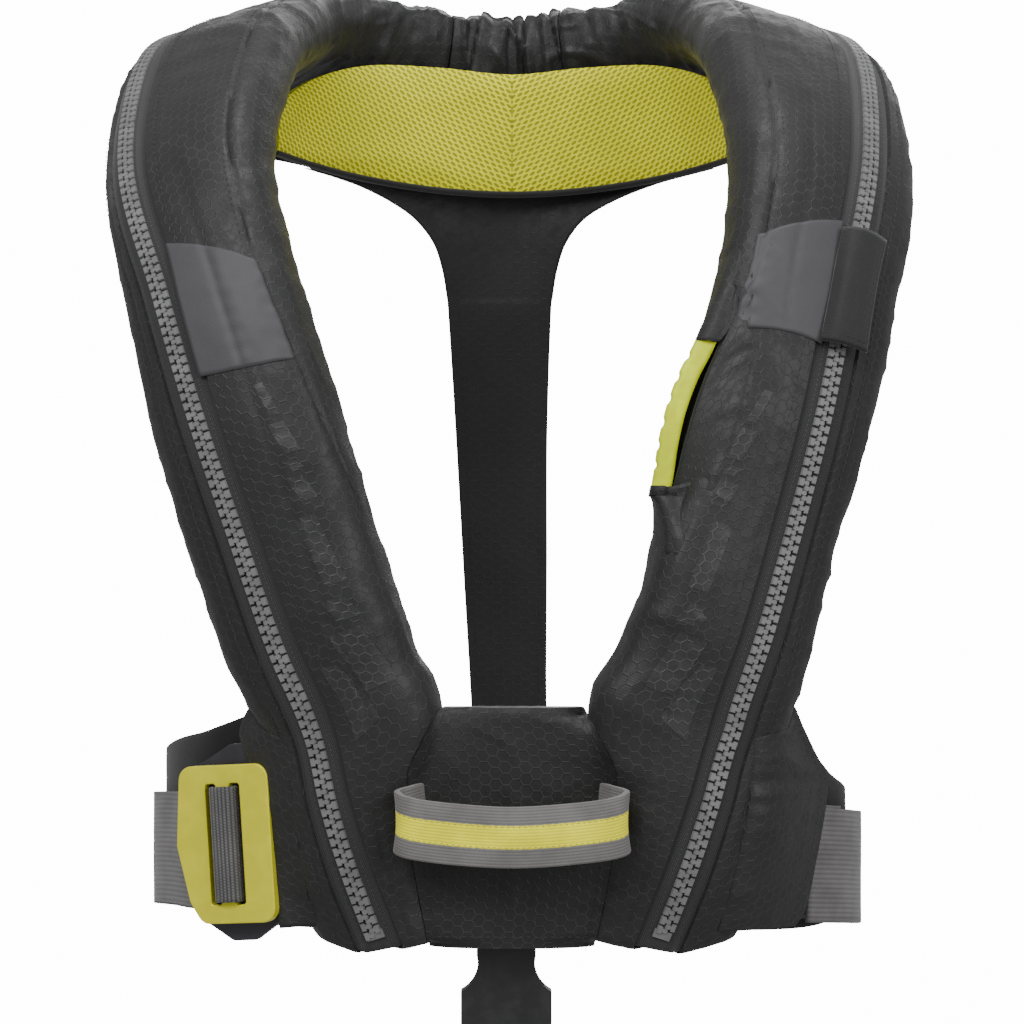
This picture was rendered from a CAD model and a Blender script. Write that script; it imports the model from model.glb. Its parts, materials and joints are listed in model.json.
"""The looks of an inflatable life jacket: covers, moulded zips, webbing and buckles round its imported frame.

+X is the wearer's left, +Y the wearer's back and +Z up. The tables are in millimetres, and MM turns them into
Blender's metres. They repeat the frame's own tables, apart from the lobes' feet and their inner edges at the
chest, the chest panel's edge, the side rims, the left wing and the back strap's flare, which are shaped again.
"""

import json
import math
from collections import namedtuple

import bmesh
import bpy
import numpy as np
from mathutils import Euler, Matrix, Vector, noise
from mathutils.bvhtree import BVHTree

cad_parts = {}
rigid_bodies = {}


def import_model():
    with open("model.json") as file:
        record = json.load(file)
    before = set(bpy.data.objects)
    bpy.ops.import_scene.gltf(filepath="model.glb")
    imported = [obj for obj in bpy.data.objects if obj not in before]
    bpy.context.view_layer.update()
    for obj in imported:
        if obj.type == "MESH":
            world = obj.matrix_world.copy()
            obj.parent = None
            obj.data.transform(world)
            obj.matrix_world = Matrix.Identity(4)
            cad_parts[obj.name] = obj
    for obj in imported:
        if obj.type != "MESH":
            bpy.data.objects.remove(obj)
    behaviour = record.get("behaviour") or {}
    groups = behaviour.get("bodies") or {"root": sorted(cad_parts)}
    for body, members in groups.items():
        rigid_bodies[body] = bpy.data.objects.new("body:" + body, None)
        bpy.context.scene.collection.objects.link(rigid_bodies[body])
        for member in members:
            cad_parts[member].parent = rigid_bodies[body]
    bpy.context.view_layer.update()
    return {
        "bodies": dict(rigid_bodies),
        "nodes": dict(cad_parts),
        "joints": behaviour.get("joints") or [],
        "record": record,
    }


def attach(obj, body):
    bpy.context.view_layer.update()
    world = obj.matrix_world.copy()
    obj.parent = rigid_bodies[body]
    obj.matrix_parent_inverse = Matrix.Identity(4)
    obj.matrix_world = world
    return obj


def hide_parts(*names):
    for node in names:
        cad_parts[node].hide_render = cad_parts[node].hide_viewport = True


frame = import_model()
NODES = frame["nodes"]
MM = 0.001

SECTION_POWER = 2.6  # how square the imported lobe's section is; 2 is an ellipse
ZIP_SLOT = 20.5  # width of the slot that the zip closes
CLOTH = 1.0  # thickness of the sewn covers
NECK_SEAM_X = 27.0
FLAT = "cloth"  # the attribute that holds a piece's own flat coordinates, in millimetres

Station = namedtuple("Station", "x y z right_half left_half thickness nx ny nz right_zip left_zip drift")

LOBE = [
    Station(0, 21, 53, 26, 26, 14, 0.00, 0.95, 0.30, 12, 12, -2.5),
    Station(38, 17, 56, 27, 27, 14, 0.15, 0.87, 0.45, 13, 13, -2.5),
    Station(72, 3, 60, 30, 30, 15, 0.28, 0.62, 0.72, 14, 14, -2.5),
    Station(97, -21, 61, 33, 33, 16, 0.30, 0.22, 0.93, 17, 16, -2.5),
    Station(112.5, -54, 54, 36.5, 38, 17, 0.32, -0.22, 0.92, 20, 19, -2.8),
    Station(120.4, -88, 39, 37.7, 41.5, 18, 0.38, -0.52, 0.76, 22.5, 21, -3.2),
    Station(124, -139, -3, 35.5, 39, 19, 0.42, -0.86, 0.28, 19, 11.5, -2.5),
    Station(115, -165, -49, 35, 37, 20, 0.40, -0.91, 0.05, 13, 7.5, -1.0),
    Station(103.9, -177, -94, 37, 36, 20, 0.38, -0.92, 0.00, 11.5, 8, 0.5),
    Station(91.2, -180, -137, 37.3, 35.2, 20, 0.36, -0.93, 0.00, 9.5, 10, 0.5),
    Station(78.4, -181, -181, 36, 36, 20, 0.33, -0.94, 0.00, 9, 9, 2.2),
    Station(65.3, -179, -214, 32, 36.5, 19, 0.26, -0.96, 0.00, 10.5, 11.5, 3.2),
    Station(64.8, -177, -245, 24.7, 31, 18, 0.24, -0.97, 0.00, 4.4, 3, 3.5),
    Station(62.1, -175.5, -272, 22.8, 28.5, 16, 0.24, -0.97, 0.00, -1.3, -2, 2.9),
    Station(56.3, -174, -303, 22.5, 28, 10, 0.24, -0.97, -0.05, -5.5, -6, 2.7),
]
LOBE_END = len(LOBE) - 1
RECESS_FROM, RECESS_TO, HANDLE_RECESS = 7.3, 9.2, 5.5
FOOT_SPAN, FOOT_RISE = 0.8, 10.0  # a lobe's slanting foot: its stations, and its rise at the outer edge
CHEST_FROM, CHEST_SPAN, CHEST_WIDER = 10.55, 0.5, 4.0  # where the inner edge stands out beside the chest panel


# Curves and surfaces -------------------------------------------------------------------------------------


def catmull_rom(four, t):
    a, b, c, d = four
    return b + 0.5 * ((c - a) * t + (2 * a - 5 * b + 4 * c - d) * t * t + (3 * b - a - 3 * c + d) * t**3)


def spline(rows, steps):
    """Points of a Catmull-Rom curve through the rows, with this many steps in each span."""
    rows = np.array(rows, float)
    ends = np.vstack([2 * rows[0] - rows[1], rows, 2 * rows[-1] - rows[-2]])
    found = [catmull_rom(ends[i : i + 4], s / steps) for i in range(len(rows) - 1) for s in range(steps)]
    return np.array(found + [rows[-1]])


def even(points, pitch):
    """Points this far apart along a line, and the unit vectors along it there."""
    points = np.array(points, float)
    lengths = np.concatenate([[0], np.cumsum(np.linalg.norm(np.diff(points, axis=0), axis=1))])
    at = np.arange(pitch / 2, lengths[-1], pitch)
    here = np.stack([np.interp(at, lengths, points[:, i]) for i in range(3)], axis=1)
    ahead = np.stack([np.interp(at + 0.3, lengths, points[:, i]) for i in range(3)], axis=1)
    behind = np.stack([np.interp(at - 0.3, lengths, points[:, i]) for i in range(3)], axis=1)
    return here, unit_rows(ahead - behind)


def unit(vector):
    return vector / np.linalg.norm(vector)


def unit_rows(vectors):
    return vectors / np.linalg.norm(vectors, axis=1)[:, None]


def step_at(line, i):
    """The step along a line at its point i, from the point before it to the one after."""
    return line[min(i + 1, len(line) - 1)] - line[max(i - 1, 0)]


def signed_power(value, power):
    return math.copysign(abs(value) ** power, value)


def ease(t):
    """From 0 to 1 with a smooth start and end."""
    return t * t * (3 - 2 * t)


def linked(name, data):
    obj = bpy.data.objects.new(name, data)
    bpy.context.scene.collection.objects.link(obj)
    return obj


def mesh_of(name, points, faces):
    """A mesh from points in millimetres."""
    mesh = bpy.data.meshes.new(name)
    mesh.from_pydata((np.array(points, float).reshape(-1, 3) * MM).tolist(), [], faces)
    return mesh


def face_outwards(mesh):
    shape = bmesh.new()
    shape.from_mesh(mesh)
    bmesh.ops.recalc_face_normals(shape, faces=shape.faces)
    shape.to_mesh(mesh)
    shape.free()


def round_rims(obj, width, segments, degrees):
    """Bevels the edges that turn by more than this angle."""
    rim = obj.modifiers.new("rim", "BEVEL")
    rim.width = width * MM
    rim.segments = segments
    rim.limit_method = "ANGLE"
    rim.angle_limit = math.radians(degrees)


def smooth(mesh, degrees=45):
    mesh.shade_smooth()
    mesh.set_sharp_from_angle(angle=math.radians(degrees))


def piece(name, mesh, material, body="vest", nodes=(), slot=None):
    obj = linked(name, mesh)
    mesh.materials.append(material)
    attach(obj, body)
    if nodes:
        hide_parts(*nodes)
    return obj


def surface(name, rows, material, thick=0.0, closed=False, centred=False, **where):
    """A sheet through rows of points. Its flat coordinates are the distances along and across it."""
    points = np.array(rows, float)
    count, columns = points.shape[:2]
    along = np.linalg.norm(np.diff(points, axis=0), axis=2).mean(axis=1)
    u = np.concatenate([[0], np.cumsum(along)])
    across = np.linalg.norm(np.diff(points, axis=1), axis=2)
    v = np.concatenate([np.zeros((count, 1)), np.cumsum(across, axis=1)], axis=1)
    v -= v[:, [columns // 2]]
    u -= u[count // 2] if centred else 0
    faces = []
    for r in range(count - 1):
        for c in range(columns if closed else columns - 1):
            a, b = r * columns + c, r * columns + (c + 1) % columns
            faces.append((a, b, b + columns, a + columns))
    if closed:
        faces += [tuple(range(columns))[::-1], tuple(range((count - 1) * columns, count * columns))]
    mesh = mesh_of(name, points, faces)
    flat = np.stack([np.repeat(u, columns), v.reshape(-1), np.zeros(count * columns)], axis=1)
    mesh.attributes.new(FLAT, "FLOAT_VECTOR", "POINT").data.foreach_set("vector", flat.reshape(-1))
    face_outwards(mesh)
    smooth(mesh, 60)
    obj = piece(name, mesh, material, **where)
    if thick:
        solid = obj.modifiers.new("thickness", "SOLIDIFY")
        solid.thickness = thick * MM
        solid.offset = 0
    return obj


def webbing_rows(route, width, up=(0, 0, 1), columns=9, steps=8, sag=0.0):
    """Rows across a webbing's route, slightly crowned when sag isn't 0."""
    line = spline(route, steps)
    rows = []
    for i, centre in enumerate(line):
        along = step_at(line, i)
        side = unit(np.array(up, float) - along * (np.dot(up, along) / np.dot(along, along)))
        out = unit(np.cross(along, side))
        shares = np.linspace(1, -1, columns)
        rows.append([centre + side * s * width / 2 + out * sag * (1 - s * s) for s in shares])
    return rows


def prism(name, outline, holes, thickness, bevel, material, matrix, segments=3, **where):
    """A plate with rounded rims, in its own XY plane, moved by a matrix whose lengths are in millimetres."""
    obj = linked(name, extruded(name, outline, thickness))
    for i, hole in enumerate(holes):
        cut(obj, linked(f"{name}_cutter_{i}", extruded("cutter", hole, thickness * 3)))
    mesh = baked(obj)
    mesh.transform(Matrix.Diagonal((MM, MM, MM, 1)) @ matrix)
    made = piece(name, mesh, material, **where)
    round_rims(made, bevel, segments, 50)
    smooth(mesh, 40)
    return made


def extruded(name, outline, thickness):
    shape = bmesh.new()
    face = shape.faces.new([shape.verts.new((x, y, -thickness / 2)) for x, y in outline])
    made = bmesh.ops.extrude_face_region(shape, geom=[face])
    top = [v for v in made["geom"] if isinstance(v, bmesh.types.BMVert)]
    bmesh.ops.translate(shape, vec=(0, 0, thickness), verts=top)
    bmesh.ops.recalc_face_normals(shape, faces=shape.faces)
    mesh = bpy.data.meshes.new(name)
    shape.to_mesh(mesh)
    shape.free()
    return mesh


def cut(obj, cutter, operation="DIFFERENCE"):
    modifier = obj.modifiers.new("cut", "BOOLEAN")
    modifier.operation = operation
    modifier.object = cutter
    cutter.hide_render = True
    cutter["scrap"] = True


def baked(obj):
    """The object's mesh with its modifiers applied. The object and its cutters are removed."""
    bpy.context.view_layer.update()
    mesh = bpy.data.meshes.new_from_object(obj.evaluated_get(bpy.context.evaluated_depsgraph_get()))
    for other in [m.object for m in obj.modifiers if m.type == "BOOLEAN"] + [obj]:
        bpy.data.objects.remove(other, do_unlink=True)
    return mesh


def rounded(corners, radius, steps=8):
    """A polygon's outline with each corner turned into an arc of this radius."""
    outline = []
    for i, corner in enumerate(corners):
        here = np.array(corner, float)
        before = unit(np.array(corners[i - 1], float) - here)
        after = unit(np.array(corners[(i + 1) % len(corners)], float) - here)
        half = math.acos(np.clip(before @ after, -1, 1)) / 2
        centre = here + unit(before + after) * radius / math.sin(half)
        start = here + before * radius / math.tan(half) - centre
        end = here + after * radius / math.tan(half) - centre
        for step in range(steps + 1):
            arm = start * (1 - step / steps) + end * step / steps
            outline.append(centre + unit(arm) * radius)
    return outline


def box_outline(width, height, x=0.0, y=0.0):
    w, h = width / 2, height / 2
    return [(x - w, y - h), (x + w, y - h), (x + w, y + h), (x - w, y + h)]


# Materials -----------------------------------------------------------------------------------------------


class Look:
    """A Principled material with a few short ways to add nodes."""

    def __init__(self, name, rgb, roughness, metallic=0.0, **sockets):
        self.material = bpy.data.materials.new(name)
        self.material.use_nodes = True
        self.tree = self.material.node_tree
        self.shader = self.tree.nodes["Principled BSDF"]
        self.set("Base Color", (*rgb, 1.0))
        self.set("Roughness", roughness)
        self.set("Metallic", metallic)
        for socket, value in sockets.items():
            self.set(socket.replace("_", " "), value)

    def set(self, socket, value):
        self.shader.inputs[socket].default_value = value

    def node(self, kind, inputs=None, **settings):
        made = self.tree.nodes.new("ShaderNode" + kind)
        for key, value in settings.items():
            setattr(made, key, value)
        for key, value in (inputs or {}).items():
            if isinstance(value, bpy.types.NodeSocket):
                self.tree.links.new(value, made.inputs[key])
            else:
                made.inputs[key].default_value = value
        return made

    def math(self, operation, a, b=0.0, c=0.0):
        return self.node("Math", {0: a, 1: b, 2: c}, operation=operation).outputs[0]

    def vector(self, operation, a, b=(0, 0, 0), c=(0, 0, 0)):
        made = self.node("VectorMath", {0: a, 1: b, 2: c}, operation=operation)
        return made.outputs["Value" if operation in ("LENGTH", "DOT_PRODUCT") else "Vector"]

    def flat(self):
        """The piece's own flat coordinates."""
        return self.node("Attribute", attribute_name=FLAT).outputs["Vector"]

    def solid(self):
        """Object coordinates in millimetres."""
        place = self.node("TexCoord").outputs["Object"]
        return self.vector("MULTIPLY", place, (1000, 1000, 1000))

    def split(self, vector):
        made = self.node("SeparateXYZ", {0: vector})
        return made.outputs[0], made.outputs[1], made.outputs[2]

    def wave(self, value, period, power=1.0):
        """A smooth wave from 0 to 1 and back over each period."""
        turned = self.math("MULTIPLY", value, 2 * math.pi / period)
        wave = self.math("MULTIPLY_ADD", self.math("SINE", turned), 0.5, 0.5)
        return self.math("POWER", wave, power) if power != 1.0 else wave

    def noise(self, vector, size, detail=3.0, roughness=0.55):
        inputs = {"Vector": vector, "Scale": 1.0 / size, "Detail": detail, "Roughness": roughness}
        return self.node("TexNoise", inputs).outputs["Fac"]

    def ramp(self, value, low, high, to_low=0.0, to_high=1.0):
        inputs = {"Value": value, "From Min": low, "From Max": high, "To Min": to_low, "To Max": to_high}
        return self.node("MapRange", inputs, interpolation_type="SMOOTHSTEP").outputs[0]

    def mix(self, share, a, b):
        made = self.node("Mix", data_type="RGBA")
        for socket, value in ((0, share), (6, a), (7, b)):
            if isinstance(value, bpy.types.NodeSocket):
                self.tree.links.new(value, made.inputs[socket])
            else:
                made.inputs[socket].default_value = value if socket == 0 else (*value, 1.0)
        return made.outputs[2]

    def colour(self, socket):
        self.tree.links.new(socket, self.shader.inputs["Base Color"])

    def roughness(self, socket):
        self.tree.links.new(socket, self.shader.inputs["Roughness"])

    def bump(self, height, distance, strength=1.0):
        """Height in 0 to 1, and the distance that 1 stands for in millimetres."""
        inputs = {"Height": height, "Distance": distance * MM, "Strength": strength}
        if self.shader.inputs["Normal"].is_linked:
            inputs["Normal"] = self.shader.inputs["Normal"].links[0].from_socket
        made = self.node("Bump", inputs)
        self.tree.links.new(made.outputs[0], self.shader.inputs["Normal"])

    def hexagons(self, vector, size):
        """0 in the middle of each hexagonal cell and 1 on its edges. The cells have flat tops."""
        box = (size * math.sqrt(3), size, 1.0)
        half = tuple(v / 2 for v in box)
        low = tuple(-v for v in half)
        first = self.vector("WRAP", vector, half, low)
        second = self.vector("WRAP", self.vector("ADD", vector, half), half, low)
        nearer = self.math("LESS_THAN", self.vector("LENGTH", first), self.vector("LENGTH", second))
        chosen = self.node("Mix", data_type="VECTOR")
        self.tree.links.new(nearer, chosen.inputs[0])
        self.tree.links.new(second, chosen.inputs[4])
        self.tree.links.new(first, chosen.inputs[5])
        x, y, _ = self.split(self.vector("ABSOLUTE", chosen.outputs[1]))
        slanted = self.math("MULTIPLY_ADD", x, math.sqrt(0.75), self.math("MULTIPLY", y, 0.5))
        return self.math("DIVIDE", self.math("MAXIMUM", y, slanted), size / 2)


def ripstop(name, rgb, lighter, gloss=0.55, flat=True, cell=4.5):
    """Coated ripstop cloth with a faint raised hexagon grid."""
    look = Look(name, rgb, gloss, Sheen_Weight=0.07, Sheen_Roughness=0.45, Specular_IOR_Level=0.36)
    place = look.flat() if flat else look.solid()
    u, v, _ = look.split(place)
    swapped = look.node("CombineXYZ", {0: v, 1: u}).outputs[0]
    edge = look.ramp(look.hexagons(swapped, cell), 0.84, 0.97)
    patchy = look.ramp(look.noise(place, 9.0, 3.0, 0.65), 0.42, 0.66)
    line = look.math("MULTIPLY", edge, look.math("MULTIPLY_ADD", patchy, 0.85, 0.15))
    worn = look.ramp(look.noise(look.solid(), 60.0, 4.0), 0.3, 0.75, 0.0, 0.5)
    base = look.mix(worn, rgb, tuple(c * 1.45 for c in rgb))
    look.colour(look.mix(look.math("MULTIPLY", line, 0.6), base, lighter))
    look.roughness(look.ramp(patchy, 0, 1, gloss - 0.07, gloss + 0.1))
    look.bump(look.math("MULTIPLY", edge, 1.0), 0.16, 0.55)
    thread = look.math("MULTIPLY", look.wave(u, 0.72), look.wave(v, 0.72))
    look.bump(thread, 0.05, 0.5)
    look.bump(look.noise(place, 5.0, 4.0), 0.22, 0.5)
    return look.material


def plain_cloth(name, rgb, flat=True, fine=0.9, gloss=0.8):
    look = Look(name, rgb, gloss, Sheen_Weight=0.25, Sheen_Roughness=0.5, Specular_IOR_Level=0.3)
    place = look.flat() if flat else look.solid()
    u, v, _ = look.split(place)
    weave = look.math("MULTIPLY", look.wave(u, fine), look.wave(v, fine))
    worn = look.ramp(look.noise(place, 24.0, 5.0), 0.3, 0.75, 0.0, 0.8)
    look.colour(look.mix(worn, rgb, tuple(c * 1.6 for c in rgb)))
    look.bump(weave, 0.12, 0.7)
    look.bump(look.noise(place, 7.0, 4.0), 0.3, 0.6)
    return look.material


def twill(name, rgb):
    """Zip tape: a fine herringbone twill that changes direction every 5 mm."""
    look = Look(name, rgb, 0.72, Sheen_Weight=0.2, Specular_IOR_Level=0.35)
    u, v, _ = look.split(look.flat())
    turned = look.math("PINGPONG", v, 2.4)
    rib = look.wave(look.math("ADD", u, look.math("MULTIPLY", turned, 1.3)), 1.05, 1.4)
    look.colour(look.mix(rib, tuple(c * 0.55 for c in rgb), tuple(c * 1.7 for c in rgb)))
    look.bump(rib, 0.16, 0.8)
    return look.material


def webbing(name, rgb, pitch, stripe=None, shade=0.55, rib_bump=0.35):
    """Woven webbing: ribs along it, crossed by the weft, with an optional coloured stripe in the middle."""
    look = Look(name, rgb, 0.7, Sheen_Weight=0.3, Sheen_Roughness=0.4, Specular_IOR_Level=0.35)
    place = look.flat()
    u, v, _ = look.split(place)
    rib = look.wave(v, pitch, 0.7)
    row = look.math("FLOOR", look.math("DIVIDE", look.math("ADD", v, 500.25 * pitch), pitch))
    shift = look.math("MULTIPLY", look.math("MODULO", row, 2.0), 0.55)
    weft = look.wave(look.math("ADD", u, shift), 1.1, 0.8)
    height = look.math("MULTIPLY", rib, look.math("MULTIPLY_ADD", weft, 0.5, 0.5))
    base = rgb
    if stripe:
        half, colour = stripe
        frayed = look.math("MULTIPLY_ADD", look.noise(place, 1.2, 1.0), 0.5, look.math("ABSOLUTE", v))
        base = look.mix(look.ramp(frayed, half, half + 0.5), colour, rgb)
    dark = look.ramp(height, 0.0, 0.75, shade, 1.0)
    blotch = look.ramp(look.noise(place, 16.0, 4.0), 0.3, 0.7, 0.85, 1.12)
    tone = look.math("MULTIPLY", dark, blotch)
    tones = look.node("CombineColor", {0: tone, 1: tone, 2: tone}).outputs[0]
    made = look.node("Mix", data_type="RGBA", blend_type="MULTIPLY")
    made.inputs[0].default_value = 1.0
    look.tree.links.new(tones, made.inputs[7])
    if isinstance(base, bpy.types.NodeSocket):
        look.tree.links.new(base, made.inputs[6])
    else:
        made.inputs[6].default_value = (*base, 1.0)
    look.colour(made.outputs[2])
    look.bump(height, rib_bump, 0.9)
    look.bump(look.noise(place, 0.5, 2.0), 0.12, 0.5)
    return look.material


def spacer_mesh(name, rgb, hole):
    """Three-dimensional mesh: rows of small slanted holes that meet in a V at the middle."""
    look = Look(name, rgb, 0.72, Sheen_Weight=0.25, Sheen_Roughness=0.4, Specular_IOR_Level=0.3)
    place = look.flat()
    u, v, _ = look.split(place)
    out = look.math("ABSOLUTE", u)
    first = look.math("MULTIPLY_ADD", out, 0.30, v)
    second = look.math("MULTIPLY_ADD", v, 0.45, out)
    a = look.math("ABSOLUTE", look.math("SINE", look.math("MULTIPLY", first, math.pi / 2.1)))
    b = look.math("ABSOLUTE", look.math("SINE", look.math("MULTIPLY", second, math.pi / 2.6)))
    open_at = look.ramp(look.math("MULTIPLY", a, b), 0.30, 0.72)
    shade = look.ramp(look.noise(place, 30.0, 3.0), 0.3, 0.7, 0.0, 0.45)
    base = look.mix(shade, rgb, tuple(c * 0.72 for c in rgb))
    look.colour(look.mix(open_at, base, hole))
    look.bump(look.math("SUBTRACT", 1.0, open_at), 0.7, 0.9)
    look.bump(look.wave(look.math("ADD", u, v), 0.6), 0.08, 0.5)
    return look.material


def film(name, rgb, cell):
    """Retroreflective film: tiny cells with a faint sheen."""
    look = Look(name, rgb, 0.6, 0.1, Specular_IOR_Level=0.4)
    place = look.flat()
    grain = look.node("TexVoronoi", {"Vector": place, "Scale": 1.0 / cell}).outputs["Distance"]
    blotch = look.ramp(look.noise(place, 11.0, 3.0), 0.3, 0.7, 0.0, 0.6)
    look.colour(look.mix(blotch, rgb, tuple(c * 1.18 for c in rgb)))
    look.roughness(look.ramp(blotch, 0, 1, 0.55, 0.66))
    look.bump(grain, 0.05, 0.6)
    return look.material


def gloss_print(name, rgb):
    """Glossy ink on the cloth, which fills the hexagons of the grid under it."""
    look = Look(name, rgb, 0.4, Specular_IOR_Level=0.45, Coat_Weight=0.08, Coat_Roughness=0.35)
    u, v, _ = look.split(look.flat())
    swapped = look.node("CombineXYZ", {0: v, 1: u}).outputs[0]
    cells = look.ramp(look.hexagons(swapped, 4.5), 0.82, 0.98)
    grain = look.ramp(look.noise(look.flat(), 1.1, 4.0, 0.7), 0.35, 0.7)
    ink = look.mix(grain, rgb, tuple(c * 1.45 for c in rgb))
    look.colour(look.mix(cells, ink, tuple(c * 1.9 for c in rgb)))
    look.roughness(look.ramp(look.noise(look.flat(), 6.0), 0.3, 0.7, 0.4, 0.56))
    look.bump(cells, 0.14, 0.8)
    return look.material


def metal(name, rgb, roughness, metallic):
    """Anodised alloy with the fine satin of bead blasting."""
    look = Look(name, rgb, roughness, metallic, Specular_IOR_Level=0.5)
    place = look.solid()
    rubbed = look.ramp(look.noise(place, 9.0, 5.0), 0.35, 0.7)
    look.colour(look.mix(rubbed, rgb, tuple(min(1.0, c * 1.1) for c in rgb)))
    look.roughness(look.ramp(rubbed, 0, 1, roughness - 0.05, roughness + 0.07))
    look.bump(look.noise(place, 0.35, 2.0), 0.03, 0.5)
    return look.material


def moulded(name, rgb, roughness, grain=0.6, **sockets):
    """Moulded plastic or rubber with a light spark-eroded grain."""
    look = Look(name, rgb, roughness, Specular_IOR_Level=0.45, **sockets)
    place = look.solid()
    worn = look.ramp(look.noise(place, 8.0, 4.0), 0.35, 0.7)
    look.colour(look.mix(worn, rgb, tuple(min(1.0, c * 1.3) for c in rgb)))
    look.roughness(look.ramp(worn, 0, 1, roughness - 0.06, roughness + 0.08))
    look.bump(look.noise(place, grain, 3.0), 0.06, 0.6)
    return look.material


BLACK_CLOTH = (0.0165, 0.0165, 0.0172)
COVER = ripstop("hexagon_ripstop", BLACK_CLOTH, (0.042, 0.042, 0.0435), 0.53)
PANEL = ripstop("panel_ripstop", (0.011, 0.011, 0.0115), (0.036, 0.036, 0.038), 0.55)
STRAP_CLOTH = ripstop("strap_ripstop", (0.021, 0.021, 0.022), (0.034, 0.034, 0.036), 0.62)
WING_CLOTH = plain_cloth("wing_cloth", (0.0075, 0.0075, 0.008))
BINDING = plain_cloth("binding", (0.012, 0.012, 0.012), fine=1.4)
TAPE = twill("zip_tape_twill", (0.025, 0.025, 0.026))
TEETH = moulded("zip_teeth_acetal", (0.145, 0.145, 0.147), 0.45)
REFLECTIVE = film("reflective_film", (0.061, 0.060, 0.064), 0.7)
PRINT = gloss_print("gloss_print", (0.0185, 0.0185, 0.0197))
MESH = spacer_mesh("yellow_spacer_mesh", (0.92, 0.92, 0.006), (0.40, 0.38, 0.003))
BELT_GREY = webbing("grey_webbing", (0.165, 0.158, 0.16), 1.9, None, 0.72, 0.2)
TETHER_GREY = webbing("striped_webbing", (0.168, 0.163, 0.16), 1.15, (4.3, (0.95, 0.90, 0.012)), 0.8, 0.12)
LOOP_GREY = webbing("buckle_webbing", (0.13, 0.128, 0.13), 1.5, None, 0.35, 0.4)
THREAD = moulded("sewing_thread", (0.03, 0.03, 0.031), 0.7, 0.3)
OLIVE_THREAD = moulded("olive_thread", (0.25, 0.23, 0.03), 0.7, 0.3)
SATIN = plain_cloth("satin_cloth", (0.0065, 0.0065, 0.007), fine=0.6, gloss=0.55)
LINING = plain_cloth("lining_cloth", (0.004, 0.004, 0.004), fine=1.0)
PALE_THREAD = moulded("pale_thread", (0.075, 0.075, 0.078), 0.7, 0.3)
YELLOW_ALLOY = metal("yellow_anodised_alloy", (0.72, 0.68, 0.03), 0.38, 0.25)
BLACK_ALLOY = metal("black_anodised_alloy", (0.052, 0.051, 0.060), 0.38, 0.5)
YELLOW_RUBBER = moulded("yellow_grip", (0.64, 0.74, 0.0), 0.55, 0.9)
BLACK_PLASTIC = moulded("black_acetal", (0.017, 0.017, 0.018), 0.38)
GREY_PLASTIC = moulded("grey_plastic", (0.3, 0.3, 0.3), 0.5)
RED_PLASTIC = moulded("red_plastic", (0.5, 0.03, 0.02), 0.45)
ORANGE_PLASTIC = moulded("orange_plastic", (0.7, 0.2, 0.02), 0.4)
YELLOW_FILM = moulded("coated_bladder_film", (0.6, 0.55, 0.05), 0.45, 2.5)
ZINC = metal("zinc_plated_steel", (0.5, 0.5, 0.5), 0.32, 0.9)

CARRIED_OVER = {
    "right_zip_stop": TEETH, "left_zip_stop": TEETH, "bladder": YELLOW_FILM, "inflator_body": GREY_PLASTIC,
    "co2_cylinder": ZINC, "water_sensor_cap": BLACK_PLASTIC, "firing_lever": RED_PLASTIC,
    "pull_cord": BLACK_PLASTIC, "oral_tube": YELLOW_FILM, "oral_valve": BLACK_PLASTIC,
    "oral_valve_cap": ORANGE_PLASTIC, "whistle": ORANGE_PLASTIC,
}
for node_name, material in CARRIED_OVER.items():
    for material_slot in NODES[node_name].material_slots:
        material_slot.material = material


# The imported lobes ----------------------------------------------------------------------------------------


class Frame:
    """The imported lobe's section at one place along it. side is 1 on the wearer's left and -1 on the right."""

    def __init__(self, at, side=1):
        rows = np.array(LOBE, float)
        mirror = rows[1] * [-1, 1, 1, 1, 1, 1, -1, 1, 1, 1, 1, 1]
        rows = np.vstack([mirror, rows, 2 * rows[-1] - rows[-2]])
        span = min(int(at), LOBE_END - 1)
        here = catmull_rom(rows[span : span + 4], at - span)
        ahead = catmull_rom(rows[span : span + 4], at - span + 0.01)
        along = unit((ahead - here)[:3])
        out = unit(here[6:9] - along * (here[6:9] @ along))
        self.at, self.side, self.along = at, side, along
        self.centre, self.out, self.across = here[:3], out, np.cross(out, along)
        self.foot_rise = FOOT_RISE * max(0.0, at - (LOBE_END - FOOT_SPAN)) / FOOT_SPAN
        self.half_width, self.half_thickness = here[4 if side > 0 else 3], here[5]
        self.zip_at, self.drift = here[10 if side > 0 else 9], here[11]
        self.inner_half = self.half_width + CHEST_WIDER * ease(min(1.0, max(0.0, at - CHEST_FROM) / CHEST_SPAN))
        if side > 0 and RECESS_FROM < at < RECESS_TO:
            share = (at - RECESS_FROM) / (RECESS_TO - RECESS_FROM)
            self.inner_half -= HANDLE_RECESS * math.sin(math.pi * share) ** 0.8

    def point(self, across, out):
        place_at = self.centre + self.across * across + self.out * out
        place_at[2] += self.foot_rise * (max(0.0, across) - 0.1 * min(0.0, across)) / self.half_width
        return place_at * [self.side, 1, 1] + [self.drift, 0, 0]

    def out_here(self):
        return self.out * [self.side, 1, 1]

    def half_at(self, across):
        return self.inner_half if across < 0 else self.half_width

    def height_at(self, across):
        share = min(abs(across) / self.half_at(across), 1.0)
        return self.half_thickness * (1 - share**SECTION_POWER) ** (1 / SECTION_POWER)

    def face(self, across, lift=0.0):
        return self.point(across, self.height_at(across) + lift)

    def edge(self, angle, inset=0.0):
        c, s = math.cos(angle), math.sin(angle)
        across = (self.half_at(c) - inset) * signed_power(c, 2 / SECTION_POWER)
        out = (self.half_thickness - inset) * signed_power(s, 2 / SECTION_POWER)
        return self.point(across, out)

    def angle_of(self, across):
        share = min(abs(across) / self.half_at(across), 1.0) ** (SECTION_POWER / 2)
        return math.acos(math.copysign(share, across))


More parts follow.
